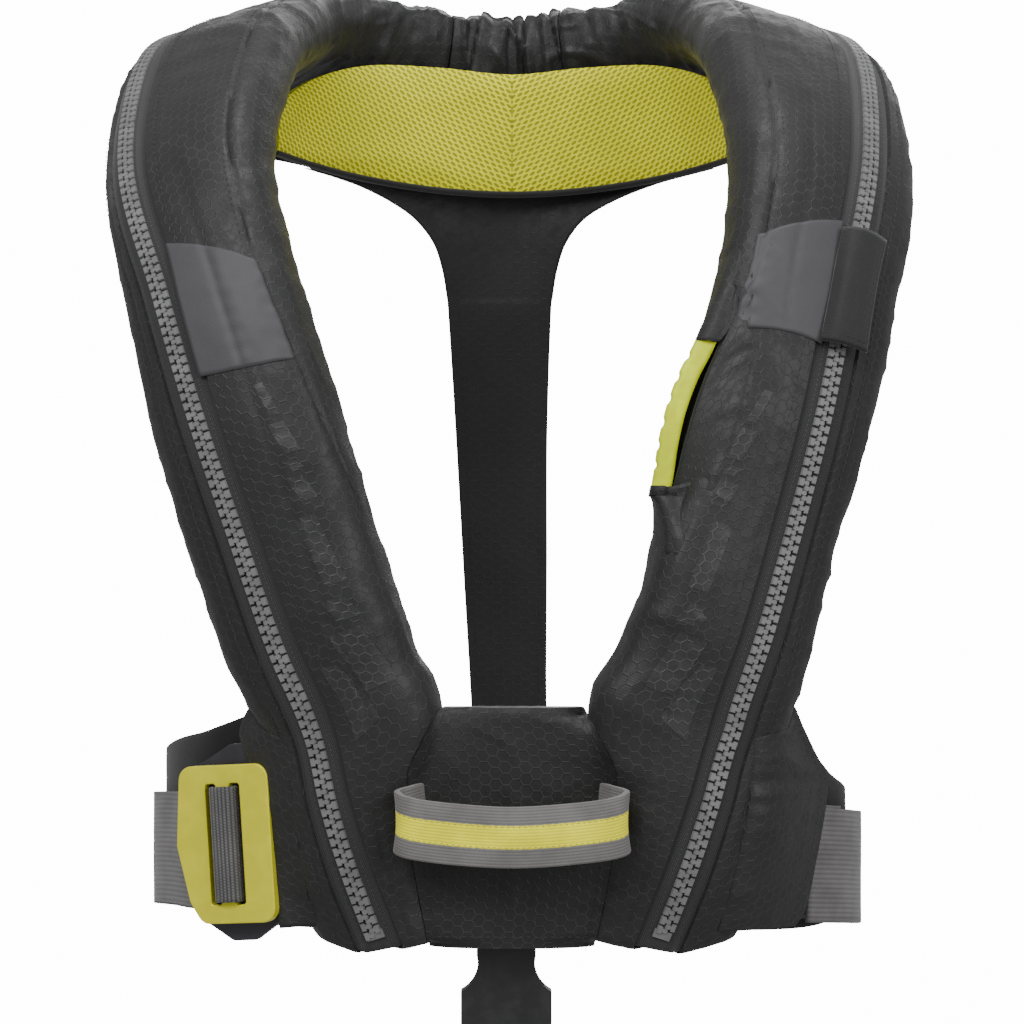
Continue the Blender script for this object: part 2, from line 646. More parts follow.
def station_at(coordinate, value, start=0.0, end=float(LOBE_END)):
    """Where along the lobe its centre's x (0), y (1) or z (2) reaches a value, found by halving."""
    rising = Frame(end).centre[coordinate] > Frame(start).centre[coordinate]
    for _ in range(24):
        middle = (start + end) / 2
        if (Frame(middle).centre[coordinate] < value) == rising:
            start = middle
        else:
            end = middle
    return start


SEAM = station_at(0, NECK_SEAM_X, 0.0, 1.5)
STATIONS = np.linspace(0, LOBE_END, 561)
CENTRES = np.array([Frame(at).centre for at in STATIONS])
RUN = np.concatenate([[0], np.cumsum(np.linalg.norm(np.diff(CENTRES, axis=0), axis=1))])  # mm from the nape
PUCKER = 6.5  # length of the small gathers beside a seam
ROUND = 27.0  # millimetres round the section for each radian

# The seam between the lobe's outer panel and its inner one: where along the lobe, and its share of the half
# width.
INNER_SEAM = [(0, -0.55), (2.5, -0.60), (5.0, -0.70), (6.9, -0.80), (7.6, -0.88), (8.2, -0.93), (9.0, -0.985)]
SEAM_ENDS = 9.2

# The gathers across the neck: where they lie in millimetres from the nape, how they lean and how deep they are.
PLEATS = [(-21, 0.10, 0.8), (-11, -0.25, 1.3), (2, 0.18, 1.0), (10, -0.05, 1.5), (18.5, 0.35, 1.1),
          (-38, -0.5, 0.9), (-52, -0.7, 0.7), (36, 0.5, 1.0), (49, 0.8, 0.8), (66, 0.9, 0.5), (-70, -0.9, 0.5)]


def seam_angle(at):
    return math.acos(-abs(np.interp(at, *zip(*INNER_SEAM))) ** (SECTION_POWER / 2))


def ridge(x, y, seed):
    """Soft crease lines: 1 along a crease and falling off to 0."""
    value = noise.noise(Vector((x, y, seed)))
    return max(0.0, 1.0 - abs(value) * 3.2) ** 2


def relief(frame, angle, place):
    """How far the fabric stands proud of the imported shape, in millimetres."""
    run = float(np.interp(frame.at, STATIONS, RUN)) * frame.side
    girth = angle * ROUND
    fine = noise.noise(Vector(place) / 15.0 + Vector((9, 3, 1)))
    lumps = 0.9 * noise.noise(Vector(place) / 38.0) + 0.35 * fine
    slant = girth * (0.5 if frame.side > 0 else -0.5)
    far = abs(run)
    neck = np.interp(far, [0, 30, 95, 150, 230, 300, 400, 470], [2.6, 2.5, 2.1, 1.3, 0.75, 0.6, 0.75, 0.9])
    creases = ridge((run + slant * 0.35) / 17.0, girth / 46.0, 3.1) - 0.30
    creases += 0.6 * (ridge((run - slant) / 30.0, girth / 19.0, 8.7) - 0.25)
    bend = float(np.interp(far, [30, 80, 190, 250], [0, 1, 1, 0]))
    creases *= 1 - 0.6 * bend * math.exp(-(((angle - math.pi) / 0.9) ** 2))
    for middle, lean, deep in PLEATS:
        off = run - middle - lean * (angle - 2.0) * 9.0
        creases += 0.42 * math.exp(-(((off - 3.2) / 2.6) ** 2)) - 0.5 * deep * math.exp(-((off / 0.9) ** 2))
    zip_angle = frame.angle_of(frame.zip_at)
    from_zip = abs(((angle - zip_angle + math.pi) % (2 * math.pi)) - math.pi) * ROUND
    loose = np.interp(from_zip, [8, 15, 32], [0.06, 0.45, 1.0])
    total = (lumps + creases * neck) * loose
    hem = math.exp(-(((from_zip - 13.5) / 1.1) ** 2))
    gather = math.sin(2 * math.pi * run / PUCKER + 3 * noise.noise(Vector((run / 20, 2, 5))))
    total -= 0.5 * hem
    total += 0.16 * gather * math.exp(-(((from_zip - 14.5) / 3.2) ** 2))
    from_seam = (angle - seam_angle(frame.at)) * ROUND
    if frame.at < SEAM_ENDS:
        total -= 1.1 * math.exp(-((from_seam / 0.9) ** 2))
        total += 0.25 * gather * math.exp(-(((abs(from_seam) - 3.0) / 2.6) ** 2))
    return total


def skin(frame, angle, lift=0.0):
    """A point on the wrinkled outside of a cover."""
    flat = frame.edge(angle)
    normal = unit(flat - frame.edge(angle, 1.0))
    return flat + normal * (relief(frame, angle, flat) + lift)


def skin_at(side, at, across, lift=0.0):
    frame = Frame(at, side)
    return skin(frame, frame.angle_of(across), lift)


def share_at(side, at, share, lift=0.0):
    """A point on the outer face at a share of the half width, from -1 at the inner edge to 1 at the outer."""
    frame = Frame(at, side)
    return skin(frame, math.acos(signed_power(share, SECTION_POWER / 2)), lift)


def lobe_cover(name, frames, node, end_closed):
    """The sewn cover round the section, with its edges turned under beside the zip."""
    rows = []
    for frame in frames:
        inner = frame.angle_of(frame.zip_at - ZIP_SLOT / 2)
        outer = 2 * math.pi + frame.angle_of(frame.zip_at + ZIP_SLOT / 2)
        angles = np.linspace(inner, outer, 110)
        row = [skin(frame, a, -CLOTH / 2) for a in angles]
        first, last = frame.edge(inner, 2.6), frame.edge(outer, 2.6)
        rows.append([first + (first - row[4]) * -0.35, row[0] * 0.5 + first * 0.5] + row
                    + [row[-1] * 0.5 + last * 0.5, last + (last - row[-5]) * -0.35])
    if end_closed:
        final = frames[-1]
        middle = np.mean(rows[-1], axis=0)
        down = final.along * [final.side, 1, 1]
        last = np.array(rows[-1])
        for share, drop in ((0.965, 0.9), (0.90, 1.6), (0.7, 2.0), (0.35, 2.1), (0.06, 2.1)):
            squeezed = middle + (last - middle) * share
            thin = (squeezed - middle) @ final.out_here()
            squeezed = squeezed - np.outer(thin, final.out_here()) * (1 - share) * 0.8
            rows.append(list(squeezed + down * drop))
    return surface(name, rows, COVER, CLOTH, nodes=(node,), slot="cover_fabric")


def stitches(name, points, outs, material=None, pitch=3.1, body="vest", length=2.2, width=0.5):
    """A row of stitches along a line, each a small spindle that is half sunk in the cloth."""
    here, along = even(points, pitch)
    points, outs = np.array(points, float), np.array(outs, float)
    nearest = [int(np.argmin(((points - p) ** 2).sum(axis=1))) for p in here]
    corners, faces = [], []
    for p, t, i in zip(here, along, nearest):
        n = unit(outs[i])
        side = np.cross(t, n)
        base = len(corners)
        corners += [p - t * length / 2, p + t * length / 2, p + side * width / 2, p + n * width * 0.6,
                    p - side * width / 2, p - n * width * 0.4]
        for a, b in ((2, 3), (3, 4), (4, 5), (5, 2)):
            faces += [(base, base + a, base + b), (base + 1, base + b, base + a)]
    mesh = mesh_of(name, corners, faces)
    smooth(mesh, 80)
    return piece(name, mesh, material or THREAD, body, slot="zip_tape")


def seam_stitches(name, side, line, lift=0.15, material=None):
    """Stitches along a line given in (at, across) on the outer face."""
    line = spline(line, 14)
    points = [skin_at(side, at, across, lift) for at, across in line]
    outs = [Frame(at, side).out_here() for at, _ in line]
    return stitches(name, points, outs, material)


# The zips: tape, teeth and stops -------------------------------------------------------------------------

TAPE_LIFT, CHAIN_LIFT = -1.75, -0.8
TOOTH_PITCH, TOOTH_HEIGHT = 3.9, 2.5
TOOTH = [(3.5, -1.6), (1.75, -1.68), (1.25, -0.9), (0.7, -0.9), (0.2, -1.25), (-0.75, -1.0), (-0.95, 0.0),
         (-0.75, 1.0), (0.2, 1.25), (0.7, 0.9), (1.25, 0.9), (1.75, 1.68), (3.5, 1.6)]


def add_tooth(corners, faces, centre, across, along, out):
    """One moulded tooth, as three rings: its foot, its shoulder and its smaller top."""
    base, count = len(corners), len(TOOTH)
    for height, inset in ((-TOOTH_HEIGHT / 2, 0.0), (TOOTH_HEIGHT * 0.28, 0.0), (TOOTH_HEIGHT / 2, 0.32)):
        for x, y in TOOTH:
            x = x - math.copysign(inset, x - 1.7)
            y = y - math.copysign(min(inset, abs(y)), y)
            corners.append(centre + across * x + along * y + out * height)
    for ring in range(2):
        for i in range(count):
            a, b = base + ring * count + i, base + ring * count + (i + 1) % count
            faces.append((a, b, b + count, a + count))
    faces.append(tuple(base + 2 * count + i for i in range(count)))
    faces.append(tuple(base + i for i in range(count))[::-1])


def zip_parts(prefix, frames, tape_frames=None):
    line = [frame.face(frame.zip_at, CHAIN_LIFT) for frame in frames]
    outs = np.array([frame.out_here() for frame in frames])
    here, along = even(line, TOOTH_PITCH / 2)
    nearest = [int(np.argmin(((np.array(line) - p) ** 2).sum(axis=1))) for p in here]
    corners, faces = [], []
    for k, (p, t, i) in enumerate(zip(here, along, nearest)):
        n = unit(outs[i] - t * (outs[i] @ t))
        across = np.cross(t, n) * (1 if k % 2 else -1)
        add_tooth(corners, faces, p, across, t, n)
    mesh = mesh_of(prefix + "_teeth", corners, faces)
    face_outwards(mesh)
    smooth(mesh, 35)
    piece(prefix + "_teeth", mesh, TEETH, nodes=(prefix + "_zip_chain",), slot="zip_teeth")
    rows = []
    for frame in tape_frames or frames:
        places = np.linspace(frame.zip_at - 12.5, frame.zip_at + 12.5, 21)
        rows.append([frame.face(a, TAPE_LIFT + 0.35 - 0.009 * (a - frame.zip_at) ** 2) for a in places])
    surface(prefix + "_tape", rows, TAPE, 0.8, nodes=(prefix + "_zip_tape",), slot="zip_tape")
    for label, offset in (("inner", -5.4), ("outer", 5.4)):
        points = [frame.face(frame.zip_at + offset, TAPE_LIFT + 0.42) for frame in frames]
        stitches(f"{prefix}_tape_stitches_{label}", points, outs, PALE_THREAD, pitch=2.0, length=1.2,
                 width=0.45)


def patch(name, side, corners, material, lift, thick, counts, slot, bulge=(0.0, 0.0), node=None):
    """A patch on the outer face, given by four corners in (at, across): its upper outer one, upper inner,
    lower inner and lower outer. bulge bows its upper and lower edges along the lobe."""
    a, b, c, d = (np.array(corner, float) for corner in corners)
    rows = []
    for t in np.linspace(0, 1, counts[0]):
        row = []
        for s in np.linspace(0, 1, counts[1]):
            at, across = (a * (1 - s) + b * s) * (1 - t) + (d * (1 - s) + c * s) * t
            at += 4 * s * (1 - s) * (bulge[0] * (1 - t) + bulge[1] * t)
            row.append(skin_at(side, at, across, lift))
        rows.append(row)
    return surface(name, rows, material, thick, nodes=(node,) if node else (), slot=slot)


LEFT_REFLECTOR = [(6.58, 0.5), (6.9, -31.6), (7.62, -32.6), (7.55, 0.0)]
RIGHT_REFLECTOR = [(6.72, 5.0), (7.08, -28.2), (7.86, -32.2), (7.78, 4.6)]
# Printed dashes that grow down the lobe: from and to, and their outer and inner edges.
DASHES = [(7.98, 8.24, -16.8, -20.6), (8.30, 8.56, -18.0, -24.2), (8.62, 8.70, -19.2, -23.6),
          (8.76, 8.98, -18.8, -25.0), (9.10, 9.66, -17.0, -25.2), (9.78, 9.98, -16.5, -25.6),
          (10.08, 10.72, -14.0, -26.0)]


def lobes():
    for prefix, side in (("right", -1), ("left", 1)):
        frames = [Frame(at, side) for at in np.linspace(SEAM + 0.012, LOBE_END, 190)]
        cover = lobe_cover(f"{prefix}_lobe_cover", frames, f"{prefix}_cover", True)
        chain = [Frame(at, side) for at in np.linspace(SEAM + 0.012, LOBE_END - 0.2, 190)]
        zip_parts(prefix, chain, frames)
        print_zone(prefix, side)
        inner = [(at, -abs(share) * Frame(at, side).half_width) for at, share in INNER_SEAM[1:-1]]
        seam_stitches(f"{prefix}_seam_stitches", side, [(at, across + 3.2) for at, across in inner])
        for label, way in (("inner", -1), ("outer", 1)):
            beside = way * (ZIP_SLOT / 2 + 4.2)
            hem = [(at, Frame(at, side).zip_at + beside) for at in np.linspace(1.2, 13.9, 30)]
            seam_stitches(f"{prefix}_hem_stitches_{label}", side, hem)
    for prefix, side, corners, bulge in (("left", 1, LEFT_REFLECTOR, (-0.035, -0.035)),
                                         ("right", -1, RIGHT_REFLECTOR, (-0.03, 0.01))):
        patch(f"{prefix}_reflective_patch", side, corners, REFLECTIVE, 0.25, 0.35, (30, 30), "reflective",
              bulge, f"{prefix}_reflector")
    neck = [Frame(abs(at), 1 if at > 0 else -1) for at in np.linspace(-SEAM + 0.012, SEAM - 0.012, 60)]
    cover = lobe_cover("neck_tube_cover", neck, "neck_cover", False)
    zip_parts("neck", neck)
    for side, prefix in ((-1, "right"), (1, "left")):
        rows = []
        for at in np.linspace(SEAM - 0.06, SEAM + 0.06, 7):
            ring = Frame(at, side)
            last = 2 * math.pi + ring.angle_of(ring.zip_at + 9)
            angles = np.linspace(ring.angle_of(ring.zip_at - 9), last, 90)
            rows.append([skin(ring, a, -1.55) for a in angles])
        surface(f"{prefix}_neck_seam_tape", rows, BINDING, 0.5, slot="cover_fabric")
        seam = Frame(SEAM + 0.05, side)
        angles = np.linspace(seam.angle_of(seam.zip_at - 12), math.pi * 1.95, 40)
        stitches(f"{prefix}_neck_seam_stitches", [skin(seam, a, 0.1) for a in angles],
                 [seam.edge(a) - seam.edge(a, 1.0) for a in angles])


def print_zone(prefix, side):
    scale, shift = (1.0, 0.0) if side < 0 else (0.95, 0.05)
    lean = 1.6
    for i, (start, end, outer, inner) in enumerate(DASHES):
        corners = [(start + shift, (outer + lean) * scale), (start + shift, (inner + lean) * scale),
                   (end + shift, (inner - lean) * scale), (end + shift, (outer - lean) * scale)]
        patch(f"{prefix}_print_dash_{i}", side, corners, PRINT, 0.16, 0.0, (16, 14), "cover_fabric")
    corners = [(10.32, -3.5), (10.36, -10.5), (11.0, -17.5), (11.22, -6.5)]
    patch(f"{prefix}_print_block", side, corners, PRINT, 0.16, 0.0, (20, 16), "cover_fabric")


# The chest panel between the lobes, the side panels and the padded wings ----------------------------------


def hem_stitches(name, rows, columns, lift=0.5, **settings):
    """Stitches along a line of a surface's rows, on the side that faces away from the middle of the vest."""
    points = np.array([row[columns] for row in rows])
    near = np.array([row[columns - 2 if columns > 1 or columns < 0 else columns + 2] for row in rows])
    along = np.gradient(points, axis=0)
    outs = unit_rows(np.cross(along, near - points))
    middle = np.array([0.0, -60.0, -120.0])
    flip = np.sign(((points - middle) * outs).sum(axis=1))
    outs *= flip[:, None]
    return stitches(name, points + outs * lift, outs, **settings)


def ray_surface(*objects):
    points, faces = [], []
    for obj in objects:
        base = len(points)
        points += [vertex.co / MM for vertex in obj.data.vertices]
        faces += [[base + i for i in face.vertices] for face in obj.data.polygons]
    return BVHTree.FromPolygons(points, faces)


PANEL_TOP, PANEL_BOTTOM = -210.0, -301.5
PANEL_FRONT, PANEL_BACK = -189.4, -174.2
PANEL_EDGE = [(-210, 27.5), (-218, 31.8), (-226, 36), (-233, 39.2), (-245, 40), (-262, 38.8), (-280, 35.8),
              (-301.5, 31.5)]
FRONT_OF_ALL = -260.0  # a depth in front of every piece, from which rays look back at the covers


def chest_panel():
    """The panel that joins the lobes: a little crowned in the middle, with its sides laid on the lobes."""
    tree = ray_surface(bpy.data.objects["left_lobe_cover"], bpy.data.objects["right_lobe_cover"])
    levels, halves = zip(*PANEL_EDGE[::-1])
    rows = []
    for z in np.linspace(PANEL_TOP, PANEL_BOTTOM, 64):
        half = float(np.interp(z, levels, halves))
        ends = []
        for side in (-1, 1):
            hit = tree.ray_cast(Vector((side * half, FRONT_OF_ALL, z)), Vector((0, 1, 0)))[0]
            ends.append(-hit.y + 0.9 if hit else 179.0)
        row = []
        for s in np.linspace(-1, 1, 61):
            x = s * half
            end = ends[0] if s < 0 else ends[1]
            rise = (1 - abs(s) ** 3.2) ** 0.8
            depth = end + (-PANEL_FRONT - end) * rise
            hit = tree.ray_cast(Vector((x, FRONT_OF_ALL, z)), Vector((0, 1, 0)))[0]
            if hit:
                cover = -hit.y + 0.75
                depth = max(depth, cover) + 0.35 * math.exp(-abs(depth - cover) / 0.8)
            top_roll = math.exp(-(PANEL_TOP - z) / 1.6)
            place_at = Vector((x, 0, z))
            depth += 0.55 * noise.noise(place_at / 24.0) - 1.5 * top_roll * (1 - abs(s))
            depth += 0.45 * ridge(x / 34.0, z / 15.0, 4.0) * (1 - abs(s)) * min(1.0, (z + 302) / 20)
            row.append([x, -depth, z])
        back = []
        for s in np.linspace(1, -1, 25):
            back.append([s * (half - 2.0), PANEL_BACK + (1 - s * s), z])
        rows.append(row + back)
    panel = surface("chest_panel_pad", rows, PANEL, closed=True, nodes=("chest_panel",), slot="cover_fabric")
    front = [row[:61] for row in rows]
    for label, column in (("right", 3), ("left", 57)):
        line = [row[column] for row in front]
        stitches(f"panel_seam_stitches_{label}", np.array(line) + [0, -0.25, 0], [(0, -1, 0)] * len(line))
    low = [row for row in front if row[0][2] > PANEL_BOTTOM + 4][-1]
    stitches("panel_hem_stitches", np.array(low[3:58]) + [0, -0.2, 0], [(0, -1, 0)] * 55)


LEFT_RIM = [(109, -166, -211), (112.5, -162, -219), (117, -156.5, -228), (122.5, -150, -239.5),
            (122, -149.5, -251), (118, -152, -272), (114, -155, -289), (109.5, -158.5, -296)]
RIGHT_RIM = [(100, -171, -209), (104.5, -169.6, -220), (101, -170.9, -233.5), (98.3, -172.2, -247),
             (93, -174.7, -274), (88.5, -176.8, -295)]
LEFT_WING = [(45, -151.5, -216, -298), (75, -145.5, -216, -299), (100, -136.5, -219, -300),
             (117, -125.5, -229, -300), (127, -114, -240, -298), (134, -103, -245, -291)]
RIGHT_WING = [(45, -151.5, -216, -298), (75, -147.5, -214, -298), (98, -143.5, -214, -297),
              (111, -139.5, -218, -296), (121, -131.5, -222, -295), (130.5, -117, -225, -290),
              (139.5, -96, -229, -286)]


def side_panel(prefix, rim, side, start_share):
    """The cover's side, which leaves the lobe's face smoothly and turns under at its own rim."""
    rows = []
    line = spline(rim, 12)
    for i, (x, y, z) in enumerate(line):
        frame = Frame(station_at(2, z, 8), side)
        grow = min(1.0, i / 12.0)
        share = 0.96 + (start_share - 0.96) * ease(grow)
        start = share_at(side, frame.at, share, -0.45)
        ahead = unit(share_at(side, frame.at, share + 0.03, 0.2) - start)
        end = np.array([side * x, y, z])
        reach = np.linalg.norm(end - start)
        arrive = np.array([side * 0.62, 0.78, 0.0])
        row = []
        for t in np.linspace(0, 1, 20):
            h0, h1 = 2 * t**3 - 3 * t * t + 1, t**3 - 2 * t * t + t
            h2, h3 = -2 * t**3 + 3 * t * t, t**3 - t * t
            p = start * h0 + ahead * h1 * reach * 0.85 + end * h2 + arrive * h3 * reach * 0.8
            p[2] = start[2] * (1 - t) + z * t
            ripple = 1.0 * noise.noise(Vector(p) / 22.0) + 0.6 * ridge(p[2] / 26.0, p[0] / 15.0, 6.3)
            row.append(p + np.array([side * 0.4, -0.9, 0]) * ripple * math.sin(math.pi * min(t * 1.1, 1.0)))
        turn = np.array([-side * 0.8, 0.6, 0])
        row += [row[-1] + turn * 1.6, row[-1] + turn * 5.0]
        rows.append(row)
    panel = surface(f"{prefix}_side_cover", rows, COVER, 1.0, nodes=(f"{prefix}_side_panel",),
                    slot="cover_fabric")
    hem_stitches(f"{prefix}_side_stitches", rows[3:], 17)


def wing(prefix, columns, side):
    """A padded wing behind the belt: full in the middle, and pulled in where its rim is bound."""
    rows = []
    line = spline(columns, 10)
    for i, (x, y, top, bottom) in enumerate(line):
        along = step_at(line, i)
        normal = unit(np.array([along[1], -along[0]]))
        left = (len(line) - 1 - i) / (len(line) - 1)
        close = max(0.12, 1 - math.exp(-left * 22))
        middle, half = (top + bottom) / 2, (top - bottom) / 2 * (1 - 0.05 * math.exp(-left * 24))
        row = []
        for a in np.linspace(0, 2 * math.pi, 56, endpoint=False):
            c, s = math.cos(a), math.sin(a)
            z = middle + half * signed_power(c, 0.28)
            edge = min(1.0, max(0.0, half - abs(z - middle)) / 9.0)
            thick = (1.1 + 1.5 * edge**0.6) * close + 0.25 * noise.noise(Vector((x, z, s)) / 14.0)
            out = thick * signed_power(s, 0.5)
            row.append([side * (x + normal[0] * out), y + normal[1] * out, z])
        rows.append(row)
    made = surface(f"{prefix}_wing_padding", rows, WING_CLOTH, closed=True, nodes=(f"{prefix}_wing_pad",),
                   slot="plain_fabric")


# The pull handle and the fabric round it --------------------------------------------------------------------

HANDLE_ROUTE = [(76, -190.5, -65), (72.5, -192.5, -73), (66.8, -194, -84), (62.3, -194.5, -96),
                (59.2, -194, -109), (57.6, -192.8, -120), (56.0, -191.4, -129.5)]


def pull_handle():
    """A moulded grip with finger notches on the side away from the lobe."""
    line = spline(HANDLE_ROUTE, 26)
    rows = []
    for i, centre in enumerate(line):
        along = unit(step_at(line, i))
        front = unit(np.array([0, -1.0, 0]) - along * -along[1])
        side = np.cross(along, front)
        side *= -1 if side[0] > 0 else 1
        run = i / (len(line) - 1)
        notch = max(0.0, math.sin(2 * math.pi * run * 9.0)) * (0.18 < run < 0.86)
        row = []
        for a in np.linspace(0, 2 * math.pi, 36, endpoint=False):
            c, s = math.cos(a), math.sin(a)
            across = 3.9 * signed_power(c, 0.8) - 0.75 * notch * max(0.0, c) ** 2
            depth = 3.1 * signed_power(s, 0.8) - 0.35 * math.exp(-((c / 0.35) ** 2)) * (s > 0)
            end = 1 - 0.5 * math.exp(-run * 60) - 0.5 * math.exp(-(1 - run) * 60)
            row.append(centre + (side * across + front * depth) * end)
        rows.append(row)
    surface("pull_grip", rows, YELLOW_RUBBER, closed=True, body="pull_handle", nodes=("pull_handle",),
            slot="yellow_rubber")


def handle_at(z):
    line = spline(HANDLE_ROUTE, 12)
    levels = line[::-1, 2]
    return np.array([np.interp(z, levels, line[::-1, i]) for i in range(3)])


def pocket(label, mouth, far, shares, hold):
    """The fabric that runs over one end of the handle and dies away into the lobe."""
    rows = []
    for t in np.linspace(0, 1, 22):
        z = mouth + (far - mouth) * t
        frame = Frame(station_at(2, z, 4), 1)
        grip = handle_at(z)
        lifts = np.array([-0.9, 0.5, 0.55, 0.5, 0.4, -0.9]) - 1.2 * max(0.0, t - 0.75) * 4
        flat = [skin(frame, frame.angle_of(-frame.inner_half * share), lift)
                for share, lift in zip(shares, lifts)]
        flat += [skin(frame, math.pi * 1.04, lifts[4]), skin(frame, math.pi * 1.16, lifts[5])]
        over = [flat[0], grip + [5.2, -3.2, 0], grip + [0.6, -5.0, 0], grip + [-3.5, -2.2, 0],
                grip + [-3.2, 2.6, 0], np.array([grip[0] + 0.5, grip[1] + 6.5, z])]
        fade = ease(max(0.0, (t - hold) / (1 - hold)))
        points = [a * (1 - fade) + b * fade for a, b in zip(over, flat)]
        rows.append(spline(points, 7))
    made = surface(f"handle_pocket_{label}_cloth", rows, COVER, 0.9, nodes=(f"handle_pocket_{label}",),
                   slot="cover_fabric")
    mouth_line = np.array(rows[1])
    outs = np.cross(np.gradient(mouth_line, axis=0), [0, 0, 1.0])
    outs *= np.sign((outs * (mouth_line - handle_at(mouth))).sum(axis=1))[:, None]
    stitches(f"handle_pocket_{label}_stitches", mouth_line + unit_rows(outs) * 0.5, outs, pitch=2.6, length=1.8)


def handle_gusset():
    """The lining behind the grip, which fills the slot between it and the lobe."""
    rows = []
    for z in np.linspace(-66, -132, 40):
        frame = Frame(station_at(2, z, 4), 1)
        grip = handle_at(z)
        face = skin(frame, frame.angle_of(-0.90 * frame.inner_half), -0.6)
        edge = skin(frame, math.pi * 1.02, -0.6)
        path = [face, (face + grip) / 2 + [1.5, 3.2, 0], grip + [0.4, 4.4, 0], grip + [-1.6, 6.4, 0],
                (edge + grip) / 2 + [-0.5, 5.0, 0], edge + [1.5, 2.0, 0]]
        rows.append(spline(path, 5))
    made = surface("handle_gusset", rows, LINING, 0.8, slot="plain_fabric")


def handle_flap():
    """The edge of the cover's face, which runs on to stand beside the grip and is bound there."""
    rows, bound = [], []
    for z in np.linspace(-60, -146, 60):
        frame = Frame(station_at(2, z, 4), 1)
        grip = handle_at(max(z, -129.5)) * [1, 1, 0] + [0, 0, z]
        reach = min(1.0, max(0.0, (-66 - z) / 16))
        begin = 0.93 - 0.20 * reach * reach * (3 - 2 * reach)
        start = skin(frame, frame.angle_of(-begin * frame.inner_half), -0.6)
        nearer = skin(frame, frame.angle_of(-min(0.985, begin + 0.1) * frame.inner_half), 0.45)
        share = (-62 - z) / 66
        gap = 4.6 + 2.6 * max(0.0, math.sin(math.pi * min(1.0, max(0.0, share))))
        low = max(0.0, (-126 - z) / 20)
        edge = grip + [gap - 1.5 * low, -0.6 + 7 * low * low, 0]
        near = nearer * 0.35 + edge * 0.65 + [0, -0.5, 0]
        under = edge + [1.2, 2.2, 0]
        points = [start, nearer, near, edge, under, under + [4.5, 2.2, 0]]
        fade = ease(min(1.0, max(0.0, (-124 - z) / 20)))
        sunk = [skin(frame, frame.angle_of(-share * frame.inner_half), -1.6)
                for share in (0.73, 0.8, 0.87, 0.93, 0.97, 1)]
        rows.append(spline([a * (1 - fade) + b * fade for a, b in zip(points, sunk)], 6))
        if -126 < z < -66:
            bound.append(edge + [0.2, -0.3, 0])
    made = surface("handle_flap", rows, COVER, 0.9, slot="cover_fabric")
    tube_along("handle_welt", bound, 0.75, BINDING, slot="cover_fabric")
    line = np.array(bound) + [3.4, -0.35, 0]
    stitches("handle_flap_stitches", line, [(0, -1, 0)] * len(line), pitch=2.8, length=1.9)


def tube_along(name, path, radius, material, sides=10, flatten=1.0, **where):
    path = np.array(path, float)
    rows = []
    for i, centre in enumerate(path):
        along = unit(step_at(path, i))
        front = unit(np.array([0, -1.0, 0]) + along * along[1])
        side = np.cross(along, front)
        angles = np.linspace(0, 2 * math.pi, sides, endpoint=False)
        rows.append([centre + (side * math.cos(a) + front * math.sin(a) * flatten) * radius for a in angles])
    return surface(name, rows, material, closed=True, **where)


# The zip slider and its flap --------------------------------------------------------------------------------

CHAIN_HEIGHT = 2.2
SLIDER_PLATE, EYE_HEIGHT, TAB_REACH = 1.5, 1.8, 7.6
FLAP_TOP_Z, FLAP_BOTTOM_Z = -33.0, -73.5
FLAP_SECTION = [(0, 2.4), (3.0, 6.2), (7.0, 8.2), (12.0, 8.6), (17.0, 7.8)]


def teeth_top(z):
    at = Frame(station_at(2, z, 4))
    return at.face(at.zip_at, CHAIN_LIFT + CHAIN_HEIGHT / 2), at.out_here()


def aimed(origin, along, out):
    """Puts a plate's own Y the way along, and its own Z as near as can be the way out."""
    y = Vector(along).normalized()
    x = y.cross(Vector(out)).normalized()
    return Matrix.Translation(Vector(origin)) @ Matrix((x, y, x.cross(y))).transposed().to_4x4()


def zip_slider():
    above, _ = teeth_top(-62)
    below, _ = teeth_top(-78)
    middle, out = teeth_top(-70)
    along = unit(below - above)
    out = unit(out - along * (out @ along))
    rest = middle - along * (middle[2] + 50.0) / along[2] + out * 0.35
    body = rounded([(-3.6, 6.0), (-4.75, 0.5), (-4.4, -6.0), (4.4, -6.0), (4.75, 0.5), (3.6, 6.0)], 1.1)
    prism("slider_plate", body, [], SLIDER_PLATE, 0.4, BLACK_ALLOY, aimed(rest + out * 0.75, along, out),
          body="zip_slider", nodes=("zip_slider",), slot="black_alloy")
    arch = []
    for a in np.linspace(0, math.pi, 19):
        arch.append(rest + out * (SLIDER_PLATE - 0.3 + 2.6 * math.sin(a) ** 0.7) + along * 3.2 * math.cos(a))
    tube_along("slider_bridge", arch, 0.55, BLACK_ALLOY, body="zip_slider", slot="black_alloy")
    outline = rounded(box_outline(6.4, 17.0), 1.6)
    hole = rounded(box_outline(3.4, 3.4, 0, 5.4), 0.7)
    grip = rounded(box_outline(2.6, 5.6, 0, -3.4), 1.0)
    at = aimed(rest + out * (SLIDER_PLATE + EYE_HEIGHT / 2) + along * TAB_REACH, -along, out)
    prism("pull_tab", outline, [hole, grip], 1.1, 0.3, BLACK_ALLOY, at, body="zip_pull_tab",
          nodes=("zip_pull_tab",), slot="black_alloy")


